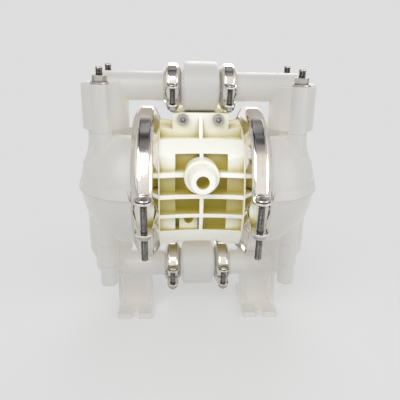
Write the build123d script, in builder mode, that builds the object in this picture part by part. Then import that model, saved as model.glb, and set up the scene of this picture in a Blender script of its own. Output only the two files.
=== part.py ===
"""Air operated double diaphragm pump, half-inch class, moulded plastic, clamp-band built.

Frame: X across the pump along its shaft, Y from front to back, Z up, with the air inlet
boss facing -Y. The origin is on the floor, midway between the feet. Millimetres.
"""
import os
from math import asin, cos, degrees, radians, sqrt

from build123d import *

os.makedirs("parts", exist_ok=True)

# ---------------------------------------------------------------- overall layout
axis_height = 138.0          # shaft axis above the floor
port_x = 88.0                # valve columns, left and right of the middle
bolt_y = 28.5                # manifold bolts, in front of and behind each valve column
joint_rise = 54.0            # chamber-to-elbow joint faces, above and below the shaft axis
bolt_seat_lift = 3.7         # washer seats above the discharge manifold axis
discharge_tube_gap = 4.5     # between the large clamps and the discharge tubes
inlet_tube_gap = 0.7         # between the large clamps and the inlet tubes

# ---------------------------------------------------------------- clearances
fit_gap = 0.05               # between a piece and the seat that holds it
slide_gap = 0.06             # running clearance, radial
ball_gap = 0.3               # around a ball, at rest and against its stop
bolt_gap = 0.3               # between a bolt shank and its hole, radial
seal_gap = 0.05              # between an O-ring and the walls of its groove

# ---------------------------------------------------------------- diaphragm joint and large clamps
rim_x = 49.5                 # middle plane of each clamped diaphragm rim
rim_thickness = 3.0
flange_r = 67.5              # outer radius of the clamped flanges
large_band_rise = 7.0        # crown of the large clamp bands, outside the flanges
large_crown_half = 6.5
large_band_lap = 4.0         # the bands reach inwards past the flange edges
large_mouth_half = 11.9
large_sheet = 1.8
large_shoulder_r = 4.5
large_tongue_rise = 13.5     # bolt tongues, from the split plane
large_tongue_r = 8.5
large_bolt_standoff = 5.0    # bolt axes outside the crown
large_bolt_r = 3.0
large_bolt_length = 57.0
large_head_r = 6.5
large_nut_height = 5.0
large_nut_flats = 10.0
large_clamp_turn = 5.5       # the split planes sit a little low at the front, degrees

# ---------------------------------------------------------------- manifold joints and small clamps
tee_half = 16.0              # half length of the tee drums
tee_r = 22.5
tee_edge = 3.0
tee_joint_x = 25.5           # joint faces between tee and elbows
tube_r = 13.3
tube_bore_r = 8.5
small_flange_r = 17.0
small_band_rise = 4.0
small_crown_half = 4.6
small_band_lap = 2.6
small_mouth_half = 8.3
small_sheet = 1.5
small_shoulder_r = 3.2
small_tongue_rise = 7.5
small_tongue_r = 5.6
small_bolt_standoff = 4.5
small_bolt_r = 2.5
small_bolt_length = 24.0
small_head_r = 4.4
small_nut_height = 4.0
small_nut_flats = 8.0
discharge_clamp_turn = 12.5
inlet_clamp_turn = 7.0
clamp_split = 0.8            # gap between the two halves of a clamp
clamp_head_rise = 0.5        # height of a bolt head, as a share of its radius

# ---------------------------------------------------------------- liquid chambers
dome_step = 2.5              # the dome lies inside the band mouth
dome_start_x = 62.0
dome_end_x = 113.5
dome_wall = 5.0
joint_stand = 4.0            # flat lands on the dome, below the joint faces
dome_rim_wall = 7.0
ledge_proud = 2.5
ledge_height = 9.0
ledge_slope = 16.0           # degrees
upper_neck_r = 17.0
upper_neck_root_r = 24.0
upper_neck_root = 20.0       # neck roots above and below the shaft axis
upper_neck_straight = 44.0
upper_neck_hollow = 1.5      # how far the flank of the neck curves inwards
lower_neck_r = 21.5
pillar_r = 8.3
lower_pillar_r = 9.2
lower_pillar_lift = 13.0     # the inlet pillars narrow this far above the inlet axis
pillar_web = 10.0

# ---------------------------------------------------------------- ball valves
ball_r = 9.5
seat_r = 14.0
seat_bore_r = 7.5
seat_height = 5.0
seat_chamfer = 0.7
seat_ring_r = 1.05           # section radius of the seat O-rings
port_bore_r = 10.0
cage_r = 12.0
cage_wall = 3.0
cage_rib = 2.6
ball_lift = 4.5
stop_bar = 3.2               # width and thickness of the bars that stop the balls

# ---------------------------------------------------------------- elbows and feet
cup_r = 21.5
cup_edge = 3.0
cup_taper_start = 18.5       # the inlet cups narrow between these heights above the inlet axis
cup_taper_end = 8.5
cup_low_r = 17.0
cup_floor_round = 7.0
foot_in_x = 47.0
foot_out_x = 81.5
foot_half_depth = 30.0
foot_plate = 6.0
foot_rib = 3.5
foot_rib_half = 11.5
foot_web = 6.0
foot_slot_r = 4.2
foot_slot_depth = 10.0       # from the plate's edge to the slot's centre

# ---------------------------------------------------------------- fluid ports
port_boss_r = 16.5
port_reach = 31.0            # port faces, behind the manifold axis
port_thread_r = 9.1
port_thread_depth = 18.0
manifold_ring_r = 1.3        # section radius of the manifold O-rings
manifold_ring_pitch_r = 12.6

# ---------------------------------------------------------------- centre block
waist_edge_step = 1.5        # the waist lies inside the band mouth
waist_dip = 3.5              # and is this much slimmer at the middle of the block
waist_edge_x = 37.3
rib_thickness = 4.0
rib_undersides = (38.5, 20.0, 1.5, -17.0)    # from the shaft axis, the top rib first
top_rib_thickness = 11.0
lower_wall_top = -31.0
web_thickness = 3.5
pocket_half = 23.0           # half width of the deep pockets
pocket_back_y = -38.0
side_pocket_half = 36.7
side_pocket_back_y = -49.0
inlet_boss_rise = 20.2
inlet_hub_r = 15.6
inlet_hub_face_y = -58.5
inlet_hub_edge = 2.0
inlet_nose_root_r = 12.0
inlet_nose_r = 10.8
inlet_nose_face_y = -73.0
inlet_nose_edge = 0.8
air_inlet_r = 5.6
air_inlet_depth = 20.0
wall_front_y = -22.0
wall_thickness = 4.5
wall_half = 25.5
wall_lip = 1.6                # top of the upper wall above the deck
deck_half = 24.0
tee_gap = 0.4                # between the deck and the discharge tee
valve_pad_y = 48.0
lower_lug_front_y = 26.0
lower_lug_gap = 5.0          # above the port boss of the inlet tee
drain_pad_x = -11.0
drain_pad_half = 8.5
drain_pad_front_y = -47.0
drain_rise = -21.5
drain_r = 4.2
dish_step = 1.0              # the dish is this much narrower than the chamber
dish_floor_r = 31.0
dish_depth = 8.0
piston_well_depth = 17.0

# ---------------------------------------------------------------- shaft group
shaft_r = 8.0
stroke_half = 8.0
shaft_bushing_r = 11.0
shaft_bushing_start = 11.0   # from the middle of the pump
shaft_bushing_length = 13.0
shaft_seal_r = 10.5
shaft_seal_start = 26.0
shaft_seal_width = 3.0
piston_r = 27.0              # inner and outer plates clamp the same ring of the diaphragm
inner_piston_thickness = 6.5
outer_piston_thickness = 9.0
piston_edge = 2.5
piston_stud_r = 4.0
piston_stud_length = 16.0    # inside the shaft
stud_room = 1.0              # past the end of the stud
shaft_chamfer = 0.8
diaphragm_inset = 1.0        # the diaphragm ends inside the flange edges
fold_r = 40.5                # where the diaphragm folds
fold_height = 5.0
fold_half = 7.5

# ---------------------------------------------------------------- pilot spool
pilot_y = 14.0
pilot_rise = 13.0
pilot_r = 4.5
pilot_waist_r = 3.2
pilot_travel = 4.0
pilot_sleeve_r = 7.0
pilot_sleeve_half = 24.0
pilot_land = 8.0

# ---------------------------------------------------------------- air valve
gasket_thickness = 0.8
valve_half = 21.0
valve_flange_depth = 10.0
valve_axis_depth = 18.0      # spool axis behind the gasket
valve_barrel_r = 16.0
valve_top_lip = 2.4          # above the deck
valve_bottom_lip = 1.0       # below the lower lugs
valve_corner = 6.0
valve_middle_rise = 1.0
spool_r = 9.0
spool_waist_r = 6.5
spool_half = 34.0
spool_travel = 6.0
spool_land = 10.0
cap_r = 12.0
cap_thickness = 5.0
snap_ring_thickness = 1.2
snap_ring_width = 1.8
snap_ring_recess = 1.5
valve_screw_x = 16.0
valve_screw_inset = 4.1       # upper screws below the deck top
lower_screw_inset = 5.5       # lower screws above the lug ends
valve_screw_r = 3.0
valve_screw_head_r = 4.9
valve_screw_head = 5.5
valve_screw_socket = 4.8     # across the flats
valve_nut_flats = 10.0
valve_nut_height = 5.0
screw_end = 2.0              # thread standing out of a nut
exhaust_rise = -24.0
exhaust_r = 7.3
exhaust_boss_r = 11.5
exhaust_boss = 4.5
exhaust_depth = 10.0
exhaust_passage_r = 5.0      # from the threaded port into the spool bore

# ---------------------------------------------------------------- manifold bolts
manifold_bolt_r = 3.175
washer_r = 8.0
washer_thickness = 1.6
bolt_flats = 11.1            # across the flats of the manifold bolt heads and nuts
nut_corner_slope = 0.5       # fall of the turned-off nut corners
bolt_head = 4.4
nut_height = 5.6
bolt_end = 14.5              # bolt ends above the washer seats
head_recess = 0.6

# ---------------------------------------------------------------- worked out from the above
large_crown_r = flange_r + large_band_rise
large_mouth_r = flange_r - large_band_lap
large_bolt_reach = large_crown_r + large_bolt_standoff
small_crown_r = small_flange_r + small_band_rise
small_mouth_r = small_flange_r - small_band_lap
small_bolt_reach = small_crown_r + small_bolt_standoff
discharge_rise = large_crown_r + discharge_tube_gap + tube_r    # manifold axes, from the shaft axis
inlet_drop = large_crown_r + inlet_tube_gap + tube_r
bolt_seat_rise = discharge_rise + bolt_seat_lift
bolt_tip_rise = bolt_seat_rise + bolt_end
dome_r = large_mouth_r - dome_step
dome_flat = joint_rise - joint_stand
rim_bore_r = dome_r - dome_rim_wall
dish_r = rim_bore_r - dish_step
waist_edge_r = large_mouth_r - waist_edge_step
waist_r = waist_edge_r - waist_dip
deck_top = discharge_rise - tee_r - tee_gap
wall_top = deck_top + wall_lip
lower_lug_bottom = port_boss_r + lower_lug_gap - inlet_drop
valve_top = deck_top + valve_top_lip
valve_bottom = lower_lug_bottom - valve_bottom_lip
valve_screw_upper = deck_top - valve_screw_inset
valve_screw_lower = lower_lug_bottom + lower_screw_inset
lower_pillar_step = inlet_drop - lower_pillar_lift
upper_neck_middle_r = (upper_neck_r + upper_neck_root_r) / 2 - upper_neck_hollow
middle = Vector(0, 0, axis_height)
FRONT = Plane(middle, x_dir=(1, 0, 0), z_dir=(0, -1, 0))    # x across, y up, from the shaft axis
END = Plane(middle, x_dir=(0, 1, 0), z_dir=(1, 0, 0))       # x to the back, y up
SHAFT_AXIS = Axis(middle, (1, 0, 0))
COLUMN_AXIS = Axis((port_x, 0, 0), (0, 0, 1))
COLUMN = Plane((port_x, 0, axis_height), x_dir=(1, 0, 0), z_dir=(0, -1, 0))
PILLARS = [(port_x, -bolt_y), (port_x, bolt_y)]
flat_to_corner = 1 / cos(radians(30))
seat_edge_r = seat_bore_r + seat_chamfer
ball_rise = sqrt((ball_r + ball_gap) ** 2 - seat_edge_r**2)     # ball centre above its seat
stop_rise = ball_rise + ball_r + ball_lift + ball_gap           # stop bars above the seat
block_face_x = rim_x - rim_thickness / 2
chamber_face_x = rim_x + rim_thickness / 2
well_floor_x = block_face_x - piston_well_depth
LARGE_BAND = (large_crown_r, large_crown_half, large_mouth_r, large_mouth_half, large_sheet)
SMALL_BAND = (small_crown_r, small_crown_half, small_mouth_r, small_mouth_half, small_sheet)


def level(rise):
    """Horizontal plane at a height given from the shaft axis."""
    return Plane.XY.offset(axis_height + rise)


def band_slope(band):
    """Growth of a clamp band's half width for each millimetre towards its axis."""
    crown_r, crown_half, mouth_r, mouth_half, _ = band
    return (mouth_half - crown_half) / (crown_r - mouth_r)


def v_half(r, band):
    """Half width between the inner faces of a clamp band at radius r."""
    crown_r, crown_half, _, _, sheet = band
    slope = band_slope(band)
    return crown_half + slope * (crown_r - r) - sheet * sqrt(1 + slope**2)


large_edge = v_half(flange_r, LARGE_BAND) - fit_gap
large_root = v_half(large_mouth_r, LARGE_BAND) - fit_gap
small_edge = v_half(small_flange_r, SMALL_BAND) - fit_gap
small_root = v_half(small_mouth_r, SMALL_BAND) - fit_gap


def save(piece, node):
    piece.label = node
    export_step(piece, f"parts/{node}.step")


def save_both(piece, name):
    """Save a piece made for the right (+X) side, and its mirror image for the left."""
    save(mirror(piece, about=Plane.YZ), f"{name}_left")
    save(piece, f"{name}_right")


# ================================================================ centre block
# One moulding: a waisted body of revolution, cored out between its ribs, with a dished
# flange at each end that backs a diaphragm, and a flat pad at the rear for the air valve.
pocket_tops = rib_undersides
pocket_floors = [rise + rib_thickness for rise in rib_undersides[1:]] + [lower_wall_top]
top_rib_top = rib_undersides[0] + top_rib_thickness
bushing_bore_r = shaft_bushing_r + fit_gap

with BuildPart() as centre_block:
    with BuildSketch(FRONT):
        with BuildLine():
            half = Polyline(
                (0, 0),
                (block_face_x, 0),
                (block_face_x, flange_r),
                (rim_x - large_edge, flange_r),
                (rim_x - large_root, large_mouth_r),
                (waist_edge_x, waist_edge_r),
            )
            other = Polyline(
                (0, 0),
                (-block_face_x, 0),
                (-block_face_x, flange_r),
                (large_edge - rim_x, flange_r),
                (large_root - rim_x, large_mouth_r),
                (-waist_edge_x, waist_edge_r),
            )
            ThreePointArc(half @ 1, (0, waist_r), other @ 1)
        make_face()
    revolve(axis=SHAFT_AXIS)
    # rear pad and deck, with the lugs of the lower air valve screws
    with BuildSketch(FRONT.offset(-valve_pad_y)):
        with Locations((0, (deck_top + lower_lug_bottom) / 2)):
            Rectangle(2 * deck_half, deck_top - lower_lug_bottom)
    extrude(amount=-waist_edge_r, mode=Mode.SUBTRACT)
    with BuildSketch(FRONT.offset(-valve_pad_y)):
        with Locations((0, deck_top / 2)):
            Rectangle(2 * deck_half, deck_top)
    extrude(amount=valve_pad_y - wall_front_y)
    with BuildSketch(FRONT.offset(-valve_pad_y)):
        with Locations((0, lower_lug_bottom / 2)):
            Rectangle(2 * valve_half, -lower_lug_bottom)
    extrude(amount=valve_pad_y - lower_lug_front_y)
    # the space in front of the upper wall, between the gusset and the top rib
    with BuildSketch(FRONT.offset(-wall_front_y)):
        with Locations((0, (top_rib_top + waist_edge_r) / 2)):
            Rectangle(2 * side_pocket_half, waist_edge_r - top_rib_top)
    extrude(amount=waist_edge_r, mode=Mode.SUBTRACT)
    with BuildSketch(FRONT.offset(-wall_front_y)):
        with Locations((0, (top_rib_top + wall_top) / 2)):
            Rectangle(2 * wall_half, wall_top - top_rib_top)
    extrude(amount=-wall_thickness)
    with BuildSketch(END):
        with BuildLine():
            Polyline(
                (wall_front_y, top_rib_top),
                (-sqrt(waist_r**2 - top_rib_top**2), top_rib_top),
                (wall_front_y, wall_top - web_thickness),
                (wall_front_y, top_rib_top),
            )
        make_face()
    extrude(amount=web_thickness / 2, both=True)
    # pockets between the ribs: deep beside the middle web, shallow near the clamp bands
    for top, floor in zip(pocket_tops, pocket_floors):
        with BuildSketch(FRONT.offset(-pocket_back_y)):
            for side in (-1, 1):
                with Locations((side * (pocket_half + web_thickness / 2) / 2, (top + floor) / 2)):
                    Rectangle(pocket_half - web_thickness / 2, top - floor)
        extrude(amount=waist_edge_r, mode=Mode.SUBTRACT)
        with BuildSketch(FRONT.offset(-side_pocket_back_y)):
            for side in (-1, 1):
                with Locations((side * (pocket_half + side_pocket_half) / 2, (top + floor) / 2)):
                    Rectangle(side_pocket_half - pocket_half, top - floor)
        extrude(amount=waist_edge_r, mode=Mode.SUBTRACT)
    # the drain pad in the lowest pocket
    with BuildSketch(FRONT.offset(-pocket_back_y)):
        with Locations((drain_pad_x, (rib_undersides[-1] + lower_wall_top) / 2)):
            Rectangle(2 * drain_pad_half, rib_undersides[-1] - lower_wall_top)
    extrude(amount=pocket_back_y - drain_pad_front_y)
    with Locations(FRONT.offset(-drain_pad_front_y) * Pos(drain_pad_x, drain_rise)):
        Hole(drain_r, depth=pocket_back_y - drain_pad_front_y)
    # the air inlet: a round hub, a tapered nose standing out of it, and the threaded bore
    with BuildSketch(END):
        with BuildLine():
            hub = Polyline(
                (inlet_nose_face_y, inlet_boss_rise),
                (pocket_back_y, inlet_boss_rise),
                (pocket_back_y, inlet_boss_rise + inlet_hub_r),
                (inlet_hub_face_y + inlet_hub_edge, inlet_boss_rise + inlet_hub_r),
            )
            round_centre = (inlet_hub_face_y + inlet_hub_edge, inlet_boss_rise + inlet_hub_r - inlet_hub_edge)
            CenterArc(round_centre, inlet_hub_edge, 90, 90)
            Polyline(
                (inlet_hub_face_y, inlet_boss_rise + inlet_hub_r - inlet_hub_edge),
                (inlet_hub_face_y, inlet_boss_rise + inlet_nose_root_r),
                (inlet_nose_face_y + inlet_nose_edge, inlet_boss_rise + inlet_nose_r),
                (inlet_nose_face_y, inlet_boss_rise + inlet_nose_r - inlet_nose_edge),
                hub @ 0,
            )
        make_face()
    revolve(axis=Axis((0, 0, axis_height + inlet_boss_rise), (0, 1, 0)))
    with Locations(FRONT.offset(-inlet_nose_face_y) * Pos(0, inlet_boss_rise)):
        Hole(air_inlet_r, depth=air_inlet_depth)
    # dished air chambers with a well for the inner piston
    for side in (-1, 1):
        with BuildSketch(FRONT):
            with BuildLine():
                Polyline(
                    (side * block_face_x, 0),
                    (side * block_face_x, dish_r),
                    (side * (block_face_x - dish_depth), dish_floor_r),
                    (side * well_floor_x, dish_floor_r),
                    (side * well_floor_x, 0),
                    (side * block_face_x, 0),
                )
            make_face()
        revolve(axis=SHAFT_AXIS, mode=Mode.SUBTRACT)
    # bores along the shaft: the shaft itself, its bushings, its seals, the pilot sleeve
    with BuildSketch(END):
        Circle(shaft_r + bolt_gap)
    extrude(amount=block_face_x, both=True, mode=Mode.SUBTRACT)
    for side in (-1, 1):
        with BuildSketch(END.offset(side * shaft_bushing_start)):
            Circle(bushing_bore_r)
        extrude(amount=side * shaft_bushing_length, mode=Mode.SUBTRACT)
        with BuildSketch(END.offset(side * shaft_seal_start)):
            Circle(shaft_seal_r + fit_gap)
        extrude(amount=side * shaft_seal_width, mode=Mode.SUBTRACT)
    with BuildSketch(END):
        with Locations((pilot_y, pilot_rise)):
            Circle(pilot_r + bolt_gap)
    extrude(amount=block_face_x, both=True, mode=Mode.SUBTRACT)
    with BuildSketch(END):
        with Locations((pilot_y, pilot_rise)):
            Circle(pilot_sleeve_r + fit_gap)
    extrude(amount=pilot_sleeve_half, both=True, mode=Mode.SUBTRACT)
    # air valve screw holes, front to back
    with BuildSketch(FRONT.offset(-valve_pad_y)):
        for rise in (valve_screw_upper, valve_screw_lower):
            with Locations((-valve_screw_x, rise), (valve_screw_x, rise)):
                Circle(valve_screw_r + bolt_gap)
    extrude(amount=valve_pad_y + waist_edge_r, mode=Mode.SUBTRACT)
save(centre_block.part, "centre_block")


# ================================================================ ball guides
def guide_ribs(seat_rise):
    """Four ribs that keep a ball central between its seat and its stop bars."""
    with BuildPart() as ribs:
        with BuildSketch(level(seat_rise)):
            with Locations((port_x, 0)):
                Rectangle(2 * cage_r + cage_wall / 2, cage_rib)
                Rectangle(cage_rib, 2 * cage_r + cage_wall / 2)
                Circle(ball_r + ball_gap, mode=Mode.SUBTRACT)
        extrude(amount=stop_rise + stop_bar / 2)
    return ribs.part


# ================================================================ liquid chambers
# A domed shell with a neck for each ball valve, two bolt columns through it, and a ledge
# round it at mid height where its mould parts.
with BuildPart() as liquid_chamber:
    with BuildSketch(FRONT):
        with BuildLine():
            rim = Polyline(
                (chamber_face_x, 0),
                (chamber_face_x, flange_r),
                (rim_x + large_edge, flange_r),
                (rim_x + large_root, large_mouth_r),
                (dome_start_x, dome_r),
            )
            EllipticalCenterArc(
                (dome_start_x, 0), dome_end_x - dome_start_x, dome_r, start_angle=0, arc_size=90
            )
            Line((dome_end_x, 0), (chamber_face_x, 0))
        make_face()
    revolve(axis=SHAFT_AXIS)
    # flat lands above and below, which clear the elbows
    for side in (-1, 1):
        with BuildSketch(FRONT):
            with Locations((dome_end_x, side * (dome_flat + dome_r / 2))):
                Rectangle(2 * (dome_end_x - dome_start_x), dome_r)
        extrude(amount=dome_r, both=True, mode=Mode.SUBTRACT)
    # the ledge at mid height
    with BuildSketch(level(0)):
        with Locations((dome_start_x, 0)):
            Ellipse(dome_end_x - dome_start_x + ledge_proud, dome_r + ledge_proud)
        with Locations((dome_start_x + fit_gap - dome_end_x / 2, 0)):
            Rectangle(dome_end_x, 3 * dome_r, mode=Mode.SUBTRACT)
    extrude(amount=ledge_height, taper=ledge_slope)
    # the necks of the two ball valves
    with BuildSketch(COLUMN):
        with BuildLine():
            Polyline(
                (upper_neck_root_r, upper_neck_root),
                (0, upper_neck_root),
                (0, joint_rise),
                (upper_neck_r, joint_rise),
                (upper_neck_r, upper_neck_straight),
            )
            ThreePointArc(
                (upper_neck_r, upper_neck_straight),
                (upper_neck_middle_r, (upper_neck_root + upper_neck_straight) / 2),
                (upper_neck_root_r, upper_neck_root),
            )
        make_face()
    revolve(axis=COLUMN_AXIS)
    with BuildSketch(level(-joint_rise)):
        with Locations((port_x, 0)):
            Circle(lower_neck_r)
    extrude(amount=joint_rise - upper_neck_root)
    # the liquid space
    with BuildSketch(FRONT):
        with BuildLine():
            Polyline(
                (dome_end_x - dome_wall, 0),
                (chamber_face_x, 0),
                (chamber_face_x, rim_bore_r),
                (dome_start_x, rim_bore_r),
            )
            EllipticalCenterArc(
                (dome_start_x, 0),
                dome_end_x - dome_start_x - dome_wall,
                rim_bore_r,
                start_angle=0,
                arc_size=90,
            )
        make_face()
    revolve(axis=SHAFT_AXIS, mode=Mode.SUBTRACT)
    # bolt columns and the inlet ball cage, standing in the liquid space
    with BuildSketch(level(0)):
        with Locations(*PILLARS):
            Circle(pillar_r)
    extrude(amount=joint_rise)
    with BuildSketch(level(-joint_rise)):
        with Locations(*PILLARS):
            Circle(lower_pillar_r)
    extrude(amount=joint_rise)
    with BuildSketch(level(-joint_rise)):
        with Locations((port_x, 0)):
            Circle(cage_r + cage_wall)
    extrude(amount=stop_rise + stop_bar)
    with BuildSketch(level(-joint_rise)):
        with Locations((port_x, 0)):
            Circle(cage_r)
    extrude(amount=stop_rise + stop_bar, mode=Mode.SUBTRACT)
    with BuildSketch(level(stop_rise - joint_rise)):
        with Locations((port_x, 0)):
            Rectangle(2 * cage_r + cage_wall, stop_bar)
            Rectangle(stop_bar, 2 * cage_r + cage_wall)
    extrude(amount=stop_bar)
    add(guide_ribs(-joint_rise))
    # the discharge port, with the recess of its valve seat
    with BuildSketch(level(upper_neck_root)):
        with Locations((port_x, 0)):
            Circle(port_bore_r)
    extrude(amount=joint_rise - upper_neck_root, mode=Mode.SUBTRACT)
    with BuildSketch(level(joint_rise)):
        with Locations((port_x, 0)):
            Circle(seat_r + fit_gap)
    extrude(amount=-seat_height, mode=Mode.SUBTRACT)
    with BuildSketch(level(-joint_rise)):
        with Locations(*PILLARS):
            Circle(manifold_bolt_r + bolt_gap)
    extrude(amount=2 * joint_rise, mode=Mode.SUBTRACT)
save_both(liquid_chamber.part, "liquid_chamber")


# ================================================================ discharge elbows
# Cup over the discharge ball, with the ball's guide ribs and stop bars inside, two bolt
# columns webbed to it, and a tube towards the middle that ends in a clamped flange.
def clamped_tube(rise):
    """An elbow's tube, from its flange to a domed end over the valve column."""
    with BuildPart() as tube:
        with BuildSketch(FRONT):
            with BuildLine():
                body = Polyline(
                    (port_x, rise),
                    (tee_joint_x, rise),
                    (tee_joint_x, rise + small_flange_r),
                    (tee_joint_x + small_edge, rise + small_flange_r),
                    (tee_joint_x + small_root, rise + small_mouth_r),
                    (tee_joint_x + small_root + small_mouth_r - tube_r, rise + tube_r),
                    (port_x, rise + tube_r),
                )
                RadiusArc(body @ 1, (port_x + tube_r, rise), tube_r)
                Line((port_x + tube_r, rise), (port_x, rise))
            make_face()
        revolve(axis=Axis((0, 0, axis_height + rise), (1, 0, 0)))
    return tube.part


def tube_bore(rise):
    """The space inside an elbow's tube, which ends in a round over the valve column."""
    with BuildPart() as bore:
        with BuildSketch(END.offset(tee_joint_x)):
            with Locations((0, rise)):
                Circle(tube_bore_r)
        extrude(amount=port_x - tee_joint_x)
        with Locations((port_x, 0, axis_height + rise)):
            Sphere(tube_bore_r)
    return bore.part


discharge_tube = clamped_tube(discharge_rise)
discharge_bore = tube_bore(discharge_rise)
inlet_tube = clamped_tube(-inlet_drop)
inlet_bore = tube_bore(-inlet_drop)

with BuildPart() as discharge_elbow:
    with BuildSketch(level(joint_rise)):
        with Locations((port_x, 0)):
            Circle(cup_r)
    extrude(amount=bolt_seat_rise - joint_rise)
    fillet(discharge_elbow.edges().sort_by(Axis.Z)[-1], cup_edge)
    with BuildSketch(level(joint_rise)):
        with Locations(*PILLARS):
            Circle(pillar_r)
        with Locations((port_x, 0)):
            Rectangle(pillar_web, 2 * bolt_y)
    extrude(amount=bolt_seat_rise - joint_rise)
    add(discharge_tube)
    with BuildSketch(level(joint_rise)):
        with Locations((port_x, 0)):
            Circle(cage_r)
    extrude(amount=stop_rise + stop_bar, mode=Mode.SUBTRACT)
    add(discharge_bore, mode=Mode.SUBTRACT)
    with BuildSketch(level(joint_rise)):
        with Locations((port_x, 0)):
            Circle(tube_bore_r)
    extrude(amount=discharge_rise - joint_rise, mode=Mode.SUBTRACT)
    with BuildSketch(level(joint_rise + stop_rise)):
        with Locations((port_x, 0)):
            Rectangle(2 * cage_r + cage_wall, stop_bar)
            Rectangle(stop_bar, 2 * cage_r + cage_wall)
    extrude(amount=stop_bar)
    add(guide_ribs(joint_rise))
    with BuildSketch(level(joint_rise)):
        with Locations(*PILLARS):
            Circle(manifold_bolt_r + bolt_gap)
    extrude(amount=bolt_seat_rise - joint_rise, mode=Mode.SUBTRACT)
save_both(discharge_elbow.part, "discharge_elbow")

# ================================================================ inlet elbows
# Cup below the inlet ball, with the recess of its seat, two stepped bolt columns with a
# hexagon pocket for each bolt head, the tube towards the middle, and a slotted foot.
foot_x = (foot_in_x + foot_out_x) / 2
foot_width = foot_out_x - foot_in_x
inlet_z = axis_height - inlet_drop

with BuildPart() as inlet_elbow:
    with BuildSketch(COLUMN):
        with BuildLine():
            cup = Polyline(
                (0, -joint_rise),
                (cup_r, -joint_rise),
                (cup_r, cup_taper_start - inlet_drop),
                (cup_low_r, cup_taper_end - inlet_drop),
                (cup_low_r, -inlet_drop),
            )
            floor = (cup_low_r - cup_floor_round, -inlet_drop - cup_floor_round)
            round_off = TangentArc(cup @ 1, floor, tangent=(0, -1))
            Polyline(round_off @ 1, (0, -inlet_drop - cup_floor_round), (0, -joint_rise))
        make_face()
    revolve(axis=COLUMN_AXIS)
    with BuildSketch(level(-joint_rise)):
        with Locations(*PILLARS):
            Circle(lower_pillar_r)
        with Locations((port_x, 0)):
            Rectangle(pillar_web, 2 * bolt_y)
    extrude(amount=joint_rise - lower_pillar_step)
    with BuildSketch(level(-joint_rise)):
        with Locations(*PILLARS):
            Circle(pillar_r)
    extrude(amount=joint_rise - bolt_seat_rise)
    add(inlet_tube)
    # the foot: slotted plate, cross web and two side ribs up to the tube
    with BuildSketch(Plane.XY):
        with Locations((foot_x, 0)):
            Rectangle(foot_width, 2 * foot_half_depth)
        for side in (-1, 1):
            with Locations((foot_x, side * (foot_half_depth - foot_slot_depth))):
                Circle(foot_slot_r, mode=Mode.SUBTRACT)
            with Locations((foot_x, side * foot_half_depth)):
                Rectangle(2 * foot_slot_r, 2 * foot_slot_depth, mode=Mode.SUBTRACT)
    extrude(amount=foot_plate)
    with BuildSketch(Plane.XY):
        with Locations((foot_x, 0)):
            Rectangle(foot_width, foot_web)
        for x in (foot_in_x + foot_rib / 2, foot_out_x - foot_rib / 2):
            with Locations((x, 0)):
                Rectangle(foot_rib, 2 * foot_rib_half)
    extrude(amount=inlet_z)
    add(inlet_bore, mode=Mode.SUBTRACT)
    with BuildSketch(level(-joint_rise)):
        with Locations((port_x, 0)):
            Circle(port_bore_r)
    extrude(amount=joint_rise - inlet_drop, mode=Mode.SUBTRACT)
    with BuildSketch(level(-joint_rise)):
        with Locations((port_x, 0)):
            Circle(seat_r + fit_gap)
    extrude(amount=-seat_height, mode=Mode.SUBTRACT)
    with BuildSketch(level(-bolt_seat_rise)):
        with Locations(*PILLARS):
            Circle(manifold_bolt_r + bolt_gap)
    extrude(amount=bolt_seat_rise - joint_rise, mode=Mode.SUBTRACT)
    with BuildSketch(level(-bolt_seat_rise)):
        with Locations(*PILLARS):
            RegularPolygon(bolt_flats / 2 + bolt_gap, 6, major_radius=False)
    extrude(amount=bolt_head + head_recess, mode=Mode.SUBTRACT)
save_both(inlet_elbow.part, "inlet_elbow")


# ================================================================ tees
# A drum between two clamped flanges, with the fluid port in a boss at the rear and an
# O-ring groove in each joint face.
def tee(rise):
    with BuildPart() as part:
        with BuildSketch(END):
            with Locations((0, rise)):
                Circle(tee_r)
        extrude(amount=tee_half, both=True)
        fillet(part.edges().filter_by(GeomType.CIRCLE), tee_edge)
        for side in (-1, 1):
            with BuildSketch(FRONT):
                with BuildLine():
                    Polyline(
                        (0, rise),
                        (side * tee_joint_x, rise),
                        (side * tee_joint_x, rise + small_flange_r),
                        (side * (tee_joint_x - small_edge), rise + small_flange_r),
                        (side * (tee_joint_x - small_root), rise + small_mouth_r),
                        (side * (tee_half - tee_edge), rise + small_mouth_r),
                        (0, rise + small_mouth_r),
                        (0, rise),
                    )
                make_face()
            revolve(axis=Axis((0, 0, axis_height + rise), (1, 0, 0)))
        with BuildSketch(FRONT):
            with Locations((0, rise)):
                Circle(port_boss_r)
        extrude(amount=-port_reach)
        with BuildSketch(END):
            with Locations((0, rise)):
                Circle(tube_bore_r)
        extrude(amount=tee_joint_x, both=True, mode=Mode.SUBTRACT)
        with BuildSketch(FRONT.offset(-port_reach)):
            with Locations((0, rise)):
                Circle(port_thread_r)
        extrude(amount=port_thread_depth, mode=Mode.SUBTRACT)
        with BuildSketch(FRONT.offset(-port_reach)):
            with Locations((0, rise)):
                Circle(tube_bore_r)
        extrude(amount=port_reach, mode=Mode.SUBTRACT)
        for side in (-1, 1):
            with BuildSketch(END.offset(side * tee_joint_x)):
                with Locations((0, rise)):
                    Circle(manifold_ring_pitch_r + manifold_ring_r + seal_gap)
                    Circle(manifold_ring_pitch_r - manifold_ring_r - seal_gap, mode=Mode.SUBTRACT)
            extrude(amount=-side * (2 * manifold_ring_r + seal_gap), mode=Mode.SUBTRACT)
    return part.part


save(tee(discharge_rise), "discharge_tee")
save(tee(-inlet_drop), "inlet_tee")


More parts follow.
